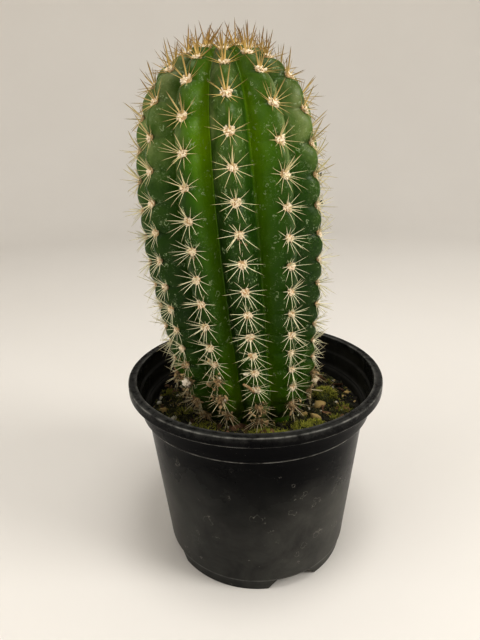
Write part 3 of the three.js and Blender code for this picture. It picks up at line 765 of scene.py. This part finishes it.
def build_scraps():
    """What is caught in the spines: dry brown scraps low down, a few scabs, pebbles and a twig stub."""
    rng = np.random.default_rng(44)
    draw = rng.uniform
    dry, stones, dark, fibres, twig = Bits(), Bits(), Bits(), Strands(), Strands()

    def drop(bits, rib, height, clock, reach, lift, size, stretch, vary, level=2):
        vertices, faces = lump(rng, size, stretch, 0.28, level)
        bits.add(vertices + areole_at(rib, height).near(clock, reach, lift), faces, vary=vary)

    for areole in AREOLES:
        for _ in range(int(round(areole.dirt * draw(18, 32)))):
            stretch = (draw(0.9, 1.7), draw(0.7, 1.1), draw(0.3, 0.6))
            vertices, faces = lump(rng, draw(0.4, 1.1), stretch, 0.3, 2)
            place = areole.near(draw(0, 360), 5.5 * rng.random() ** 0.7, draw(0.8, 3.2))
            if place[2] > SCRAP_FLOOR:
                dry.add(vertices + place, faces, vary=rng.random())
        for _ in range(int(round(areole.dirt * draw(22, 40)))):
            place = areole.near(draw(0, 360), 5.2 * sqrt(rng.random()), draw(0.6, 3))
            tip = place + rng.normal(size=3) * draw(0.6, 1.7)
            if min(place[2], tip[2]) > SCRAP_FLOOR:
                fibres.add(place, tip, draw(0.11, 0.2), rng.normal(size=3) * 0.35, vary=rng.random())
    groups = (
        (dry, SCABS, 6, 14, 0.7, 0.5, (0.5, 0.95), (1.2, 0.8, 0.45)),
        (dark, SPECKS, 3, 8, 0.5, 1.8, (0.3, 0.6), (1.8, 0.8, 0.5)),
    )
    for bits, spots, count, turn, slip, lift, sizes, stretch in groups:
        for rib, height, clock, reach in spots:
            for _ in range(count):
                spot = (clock + rng.normal(0, turn), reach + rng.normal(0, slip), lift, draw(*sizes), stretch)
                drop(bits, rib, height, *spot, 0.7 + 0.3 * rng.random() if bits is dry else 0.9)
    for rib, height, clock, reach, lift, size, *rest in PEBBLES:
        drop(stones, rib, height, clock, reach, lift, size or draw(1, 1.5), *rest)
    low = areole_at(0, 124)
    root = low.near(230, 2, 0.6)
    twig.add(root, root + low.near(319, 8.6, 2.6) - low.place, 0.95, (0.2, -0.3, 0.5), vary=0)
    brown = grit_material("dry_scraps", (112, 84, 50), (234, 206, 156), 500)
    dry.make("dry_scraps", brown, "bark")
    fibres.make("dry_fibres", brown, "bark", sides=4, rings=4, taper=0.5, waist=0.3)
    dark.make("dark_specks", grit_material("dark_specks", (12, 10, 9), (42, 34, 28), 900), "bark")
    stones.make("caught_pebbles", grit_material("caught_pebbles", (206, 186, 150), (250, 246, 236), 600), "perlite")
    bark = grit_material("twig_bark", (120, 90, 58), (206, 172, 130), 900)
    twig.make("twig_stub", bark, "bark", sides=9, rings=10, taper=0.6, waist=0.62)


# -------- the pot

POT_COLUMNS = 240
SHARP_ANGLE = 38  # degrees from which an edge of the pot stays sharp
EDGE_HIGHLIGHTS_AND_WEAR = [  # outer edges with a painted highlight line and some wear from hands and shelves, as radius, height, width and amount
    (RIM_RADIUS - 0.3, POT_HEIGHT - 0.3, 0.4, 0.7), (RIM_RADIUS - 0.3, LIP_BOTTOM + 0.3, 0.4, 0.8),
    (69.7, BAND_BOTTOM + 0.45, 0.35, 1), (BODY_RADIUS, FOOT_HEIGHT + 0.6, 0.4, 0.5), (71.6, POT_HEIGHT - 0.2, 0.4, 0.6),
]


def arc(centre, radius, start, end, steps):
    """Points of a round edge in the half outline, from one angle to another in degrees."""
    angles = np.radians(np.linspace(start, end, steps))
    return [(centre[0] + radius * cos(a), centre[1] + radius * sin(a)) for a in angles]


def raised(level, *points):
    """Points of the half outline whose heights are given from a level."""
    return [(radius, level + height) for radius, height in points]


def inner_radius(z):
    """Radius of the body's inner wall at a height."""
    return BODY_RADIUS + BODY_FLARE * (z - FOOT_HEIGHT) / (BAND_BOTTOM - FOOT_HEIGHT) - WALL


def pot_outline():
    """Half outline of the pot as (radius, height), from the axis under the floor to the axis above it."""
    body = [(BODY_FLARE * k / 12, (BAND_BOTTOM - FOOT_HEIGHT - 1.3) * k / 12) for k in range(1, 12)]
    return [
        *raised(FOOT_HEIGHT, (0, 0), (20, 0), (40, 0), (55, 0), (55.5, -0.4)),
        (54.6, 0.3), (54.85, 0), (55.65, 0), (55.95, 0.3), (56.3, 3.6),
        *raised(FOOT_HEIGHT, (56.75, -0.5), (56.9, -0.1), (57.3, 0.1), (57.55, 0.4), (57.68, 0.9), (57.76, 1.7)),
        *((BODY_RADIUS + out, FOOT_HEIGHT + 0.9 + up) for out, up in body),
        *raised(BAND_BOTTOM, (66.55, -0.6), (66.75, -0.1), (67.2, 0), (69, 0.05)),
        *arc((69.1, BAND_BOTTOM + 0.75), 0.65, -85, 0, 5),
        (69.86, BAND_BOTTOM + 1.4), (70.6, 104),
        *raised(LIP_BOTTOM, (71.5, -1.2), (71.8, -0.5), (72.5, -0.1), (74.6, 0)),
        *arc((RIM_RADIUS - 0.9, LIP_BOTTOM + 0.9), 0.9, -80, 0, 6),
        *raised(LIP_BOTTOM, (RIM_RADIUS, 1.5), (RIM_RADIUS, 2.6)),
        *arc((RIM_RADIUS - 1, POT_HEIGHT - 1), 1, 8, 90, 7),
        *raised(POT_HEIGHT, (74, -0.25), (73, -0.25)),
        *arc((71.9, POT_HEIGHT - 0.8), 0.8, 90, 175, 6),
        *raised(POT_HEIGHT, (70.75, -5), (70.6, -8.6), (70.3, -9.4), (69.4, -10), (69.1, -10.6)),
        *raised(BAND_BOTTOM, (68.6, 2.5), (68.35, 1), (67.6, 0.2), (inner_radius(BAND_BOTTOM - 0.6) + 0.5, -0.6)),
        *((inner_radius(z), z) for z in (BAND_BOTTOM - 1.6, 80, 60, 40, 20, FLOOR_TOP + 1)),
        *raised(FLOOR_TOP, (inner_radius(FLOOR_TOP) - 0.8, 0), (40, 0), (20, 0), (0, 0)),
    ]


def edge_highlight_and_wear(radius, height):
    """How far a point of the outline lies on an edge with a painted highlight line and some wear, from 0 to 1."""
    return max(
        much * exp(-((radius - r) ** 2 + (height - z) ** 2) / wide**2) for r, z, wide, much in EDGE_HIGHLIGHTS_AND_WEAR)


def cut(obj, cutter):
    """Cuts one object out of another for good, and removes the cutter."""
    modifier = obj.modifiers.new("cut", "BOOLEAN")
    modifier.operation = "DIFFERENCE"
    modifier.solver = "EXACT"
    modifier.object = cutter
    bpy.context.view_layer.update()
    shape = bpy.data.meshes.new_from_object(obj.evaluated_get(bpy.context.evaluated_depsgraph_get()))
    obj.modifiers.clear()
    obj.data = shape
    bpy.data.objects.remove(cutter)


def prism(front, back):
    """A cutter between two equal rings of points, the first of them seen anticlockwise from outside."""
    n = len(front)
    sides = [(k, k + n, (k + 1) % n + n, (k + 1) % n) for k in range(n)]
    return mesh_object("cutter", front + back, [range(n), range(2 * n - 1, n - 1, -1), *sides])


def notch_cutter(azimuth):
    """A wedge with slanted ends, through the foot ring."""
    half = [(15.5, -1), (15.5, 0), (10.25, FOOT_HEIGHT - 0.4)]
    section = [(-15.5, -1), *half, (-10.25, FOOT_HEIGHT - 0.4), (-15.5, 0)]
    turn = Matrix.Rotation(radians(azimuth), 3, "Z")
    return prism(*([turn @ Vector((x, y, z)) for x, z in section] for y in (-60, -46)))


def drain_cutter(azimuth):
    """A round plug through the floor."""
    x0, y0 = DRAIN_DISTANCE * compass(azimuth)
    angles = [2 * pi * k / 28 for k in range(28)]
    edge = [(x0 + DRAIN_RADIUS * cos(a), y0 + DRAIN_RADIUS * sin(a)) for a in angles]
    return prism(*([(x, y, z) for x, y in edge] for z in (FLOOR_TOP + 3, FOOT_HEIGHT - 3)))


def build_pot():
    (_, foot), *rows, (_, top) = pot_outline()
    ways = circle(POT_COLUMNS)
    vertices, faces = tube((0, 0, foot), [ring(r * ways, z) for r, z in rows], (0, 0, top))

    def spread(values):
        return np.concatenate([[0], np.repeat(values, POT_COLUMNS), [0]])

    radii, heights = np.transpose(rows)
    inner = (np.arange(len(rows)) > np.argmax(heights)) & (radii < 71) & (heights > 70)
    # edge: painted highlight lines along the rounded edges, with some wear
    marks = {"edge": spread([edge_highlight_and_wear(r, z) for r, z in rows]), "inside": spread(inner.astype(float))}
    pot = make_object("nursery_pot", vertices, faces, pot_material(), "pot_plastic", "pot", marks=marks)
    for n in range(NOTCHES):
        azimuth = NOTCH_AZIMUTH + 360 / NOTCHES * n
        cut(pot, notch_cutter(azimuth))
        cut(pot, drain_cutter(azimuth))
    pot.data.polygons.foreach_set("use_smooth", np.full(len(pot.data.polygons), True))
    pot.data.set_sharp_from_angle(angle=radians(SHARP_ANGLE))


# -------- the soil

SOIL_COLUMNS = 300
LITTER_RADIUS = 63.4  # nothing lies further out on the soil
STEM_CLEARANCE = 0.4  # between the stem and its hole in the soil
MOSS_CUSHIONS = [  # x, y, radius and height
    (44.5, 6, 7.5, 6.2), (27, -31, 6, 2.4), (35, -27, 4.5, 1.8), (3, -37, 7, 1.6), (-30, -30, 7, 1.4),
    (54, -8, 4, 1.2), (-50, -23, 5, 1.2), (-29, 42, 7, 2), (16, 52, 6, 1.8), (-57, 12, 4, 1.2),
    (-42, -12, 4.5, 1), (14, -36, 5, 1.6), (48, -20, 3.5, 1),
]


def soil_top(x, y):
    """Height of the soil's surface: slow rises, with crumbly relief on top."""
    waves = sin(x / 9 + 1) * cos(y / 11) + 0.6 * sin((x + 2 * y) / 6.5)
    coarse, fine = noise.noise(Vector((x / 5.5, y / 5.5, 1.7))), noise.noise(Vector((x / 1.9, y / 1.9, 4.2)))
    return SOIL_TOP + SOIL_SWELL * waves + 1.1 * coarse + 0.8 * fine


def stem_edge(azimuth, level):
    """Radius of the stem about its axis, at azimuths in degrees and a height."""
    top = np.argmax(OUT_Z)
    place = skin(np.linspace(0, RIBS, 1201), np.interp(level, OUT_Z[:top], OUT_RUN[:top]))[0]
    off = place[:, :2].T - stem_axis(level)[:, None]
    around = np.degrees(np.arctan2(off[0], -off[1])) % 360
    order = np.argsort(around)
    return np.interp(azimuth % 360, around[order], np.hypot(*off)[order], period=360)


def hole_ring(azimuth, level, clearance):
    """Points round the stem at a height, as x and y. The stem's own foot is a little higher than its hole's floor."""
    edge = stem_edge(azimuth, max(level, ROOT_END + 2)) + clearance
    return stem_axis(level)[:, None] + edge * compass(azimuth)


def build_soil():
    """The soil as one ring after another, from the hole's floor over the surface to the middle of its underside."""
    azimuths = np.linspace(0, 360, SOIL_COLUMNS, endpoint=False)
    ways = compass(azimuths)
    rings = [ring(hole_ring(azimuths, z, STEM_CLEARANCE), z) for z in (ROOT_END, 60, 75, 88, 92)]
    hole = hole_ring(azimuths, SOIL_TOP, STEM_CLEARANCE)
    for share in np.linspace(0, 1, 46):
        spots = hole + (SOIL_RADIUS * ways - hole) * share
        rings.append(ring(spots, [soil_top(x, y) for x, y in spots.T]))
    bottom = FLOOR_TOP + GAP
    rings += [ring(radius * ways, z) for radius, z in ((63, 80), (56, bottom), (30, bottom))]
    vertices, faces = tube((*stem_axis(ROOT_END), ROOT_END - 0.2), rings, (0, 0, bottom))
    material = soil_material("potting_soil", (9, 8, 5), (38, 32, 18), 420)
    make_object("soil_body", vertices, faces[:, ::-1], material, "soil", "soil")


def scatter(rng, count, high=1.0):
    """Seeded places on the soil between the stem and the wall."""
    azimuths = rng.uniform(0, 360, count)
    hole = hole_ring(azimuths, SOIL_TOP, 0.6)
    return hole + (LITTER_RADIUS * compass(azimuths) - hole) * high * rng.random(count)


def build_litter(name, slot, material, count, size, stretch, seed, level=2, places=(), rough=0.25, smooth=False):
    """Loose bits that lie in the soil's surface, the first of them at given places, as x, y and radius."""
    rng = np.random.default_rng(seed)
    x, y = scatter(rng, count)
    bits = Bits()
    for n in range(count):
        amount = rng.uniform(*size)
        if n < len(places):
            x[n], y[n], amount = places[n]
        vertices, faces = lump(rng, amount, [rng.uniform(*s) for s in stretch], rough, level)
        height = soil_top(x[n], y[n]) + amount * 0.25
        bits.add(vertices + [x[n], y[n], height], faces, vary=0 if n < len(places) else rng.random())
    bits.make(name, material, slot, smooth=smooth)


def build_moss():
    """Moss: low cushions set with short shoots, and loose shoots in patches between them."""
    rng = np.random.default_rng(31)
    draw = rng.uniform
    shoots, mounds = Strands(), Bits()
    ball, faces = ICO[3]
    for cx, cy, wide, high in MOSS_CUSHIONS:
        wave = 1 + 0.14 * np.sin(ball @ rng.normal(size=(3, 3)) * 4 + draw(0, 6, 3)).sum(1, keepdims=True) / 2
        wave = wave * uneven(rng, ball, 0.08)
        base = np.array([cx, cy, soil_top(cx, cy) - 0.6])
        mounds.add(base + ball * wave * [wide, wide, high], faces, vary=0.5)
        for _ in range(int(wide * wide * 8)):
            angle, share = draw(0, 2 * pi), sqrt(rng.random())
            ox, oy = wide * share * cos(angle), wide * share * sin(angle)
            rise = max(high * sqrt(max(0, 1 - share * share)) - 0.3, soil_top(cx + ox, cy + oy) - base[2] - 0.2)
            root = base + [ox, oy, rise]
            way = unit(np.array([ox / wide * 0.9 + rng.normal(0, 0.5), oy / wide * 0.9 + rng.normal(0, 0.5), 1]))
            tip = root + way * draw(1.4, 3.4)
            shoots.add(root, tip, draw(0.28, 0.42), STRAIGHT, vary=rng.random())
    for x, y in zip(*scatter(rng, 11000)):
        patch = noise.noise(Vector((x / 9, y / 9, 7.7))) + 0.5 * noise.noise(Vector((x / 2.6, y / 2.6, 2.1)))
        if patch < -0.1:
            continue
        root = np.array([x, y, soil_top(x, y) - 0.1])
        tip = root + [rng.normal(0, 0.7), rng.normal(0, 0.7), draw(0.5, 1.7)]
        shoots.add(root, tip, 0.26, STRAIGHT, vary=rng.random())
    shoots.make("moss_shoots", grit_material("moss_shoots", (56, 74, 8), (224, 218, 88), 500, (0.75, 0.95)), "moss")
    # the cushions are dark as painted shade in the gaps between the shoots
    mounds.make("moss_cushions", grit_material("moss_cushions", (24, 30, 5), (70, 78, 16), 400, (0.8, 0.95)), "moss")


def build_straws():
    """Short pale stalks and fibres that lie on the soil."""
    rng = np.random.default_rng(25)
    draw = rng.uniform
    straws = Strands()
    for x, y in zip(*scatter(rng, 620, 0.97)):
        turn, length = draw(0, 2 * pi), draw(1, 4.2)
        root = np.array([x, y, soil_top(x, y) + 0.35])
        end = root + [length * cos(turn), length * sin(turn), 0]
        if hypot(end[0], end[1]) > LITTER_RADIUS + 0.1:
            continue
        end[2] = soil_top(end[0], end[1]) + draw(0.3, 1.3)
        straws.add(root, end, draw(0.12, 0.3), rng.normal(size=3) * 0.3, vary=rng.random())
    material = grit_material("straw_bits", (104, 88, 44), (220, 202, 142), 500)
    straws.make("straw_bits", material, "bark", sides=4, rings=4, taper=0.4, waist=0.4)


def build_ground():
    """The soil, and crumbs, chips, grains, stalks and moss on it."""
    build_soil()
    peat = soil_material("peat_crumbs", (9, 8, 4), (46, 38, 20), 600)
    build_litter("peat_crumbs", "soil", peat, 3200, (0.5, 1.5), ((0.8, 1.6), (0.7, 1.1), (0.5, 1)), 21, 1)
    bark = grit_material("bark_chips", (58, 38, 24), (160, 118, 82), 260)
    places = [(43, -14, 2.6), (-40, 6, 2.6), (55, 22, 2.6), (48, 30, 2.2), (44, 24, 3)]
    build_litter("bark_chips", "bark", bark, 90, (1.2, 2.8), ((1.2, 2), (0.7, 1), (0.25, 0.45)), 22, places=places)
    white = grit_material("perlite", (206, 196, 170), (242, 238, 226), 700)
    places = [
        (-60.5, -1.5, 1.5), (-48.7, -18.1, 1.7), (-60.5, 6, 1.3), (-38, -24, 1.2), (-18, 38.3, 1.6), (40, -10, 0.9)]
    stretch = ((0.9, 1.3), (0.9, 1.2), (0.8, 1))
    build_litter("perlite_grains", "perlite", white, 60, (0.4, 1.2), stretch, 23, 2, places, 0.2, True)
    tan = grit_material("tan_grit", (150, 122, 58), (224, 196, 138), 600)
    places = [(-56.5, -10.5, 2.1), (40.5, -3.5, 3.6), (60, 11, 2), (57, 6, 1.8), (30, -14, 1.6), (36, -19, 2.8)]
    build_litter("tan_grit", "bark", tan, 420, (0.3, 1), ((1, 2), (0.6, 1), (0.5, 0.7)), 24, 2, places, 0.17, True)
    build_straws()
    build_moss()


# -------- stage, light and camera

CAMERA_PLACE = (0, -0.27834, 0.25281)
CAMERA_YAW, CAMERA_PITCH, CAMERA_ROLL = -0.02948, 0.35542, -0.02373
FOCAL_PIXELS, LONG_SIDE_PIXELS, SENSOR = 500.5, 640, 36


def build_stage():
    """A pale floor whose far edge rises in a wide curve on all sides."""
    rise = [(1100 + 700 * sin(a), 700 - 700 * cos(a)) for a in np.radians(np.linspace(6, 90, 15))]
    outline = [(20, 0), (500, 0), (1100, 0), *rise, (1800, 1600), (1800, 2600)]
    columns = 96
    vertices = np.concatenate([[(0, 0, 0)], *(ring(r * circle(columns), z) for r, z in outline)])
    faces = grid_faces(len(outline), columns)[:-columns, ::-1]
    s = Shader("studio_floor")
    material = s.finish(s.mix(s.noise(3, 3), (227, 223, 217), (232, 229, 224)), 0.75)
    floor = mesh_object("studio_floor", vertices, faces, material)


def add_light(name, place, target, size, power, colour):
    data = bpy.data.lights.new(name, "AREA")
    data.shape = "DISK"
    data.size = size
    data.energy = power
    data.color = colour
    light = link(name, data)
    light.location = place
    light.rotation_euler = (Vector(target) - Vector(place)).to_track_quat("-Z", "Y").to_euler()


def build_light():
    world = bpy.data.worlds.new("studio")
    world.use_nodes = True
    background = world.node_tree.nodes["Background"]
    background.inputs["Color"].default_value = (1, 0.987, 0.97, 1)
    background.inputs["Strength"].default_value = 0.45
    bpy.context.scene.world = world
    middle = (0, 0, 0.17)
    add_light("overhead", (0.12, -0.22, 1.5), (0, 0.05, 0), 0.5, 6.6, (1, 0.985, 0.965))
    add_light("key", (1.15, -0.45, 0.85), middle, 0.6, 11.3, (1, 0.985, 0.96))
    add_light("fill", (-0.9, -0.5, 0.7), middle, 0.9, 4.6, (1, 0.98, 0.95))
    view = bpy.context.scene.view_settings
    view.view_transform = "Standard"
    view.exposure = 0.12
    view.gamma = 0.86


def build_camera():
    data = bpy.data.cameras.new("camera")
    data.sensor_width = SENSOR
    data.lens = SENSOR * FOCAL_PIXELS / LONG_SIDE_PIXELS
    data.clip_start = 0.01
    camera = link("camera", data)
    turns = ((-CAMERA_YAW, "Z"), (pi / 2 - CAMERA_PITCH, "X"), (CAMERA_ROLL, "Z"))
    yaw, pitch, roll = (Matrix.Rotation(angle, 4, axis) for angle, axis in turns)
    camera.matrix_world = Matrix.Translation(CAMERA_PLACE) @ yaw @ pitch @ roll
    bpy.context.scene.camera = camera


build_camera()
build_stage()
build_light()
build_pot()
build_ground()
build_stem()
build_pads()
build_spines()
build_scraps()
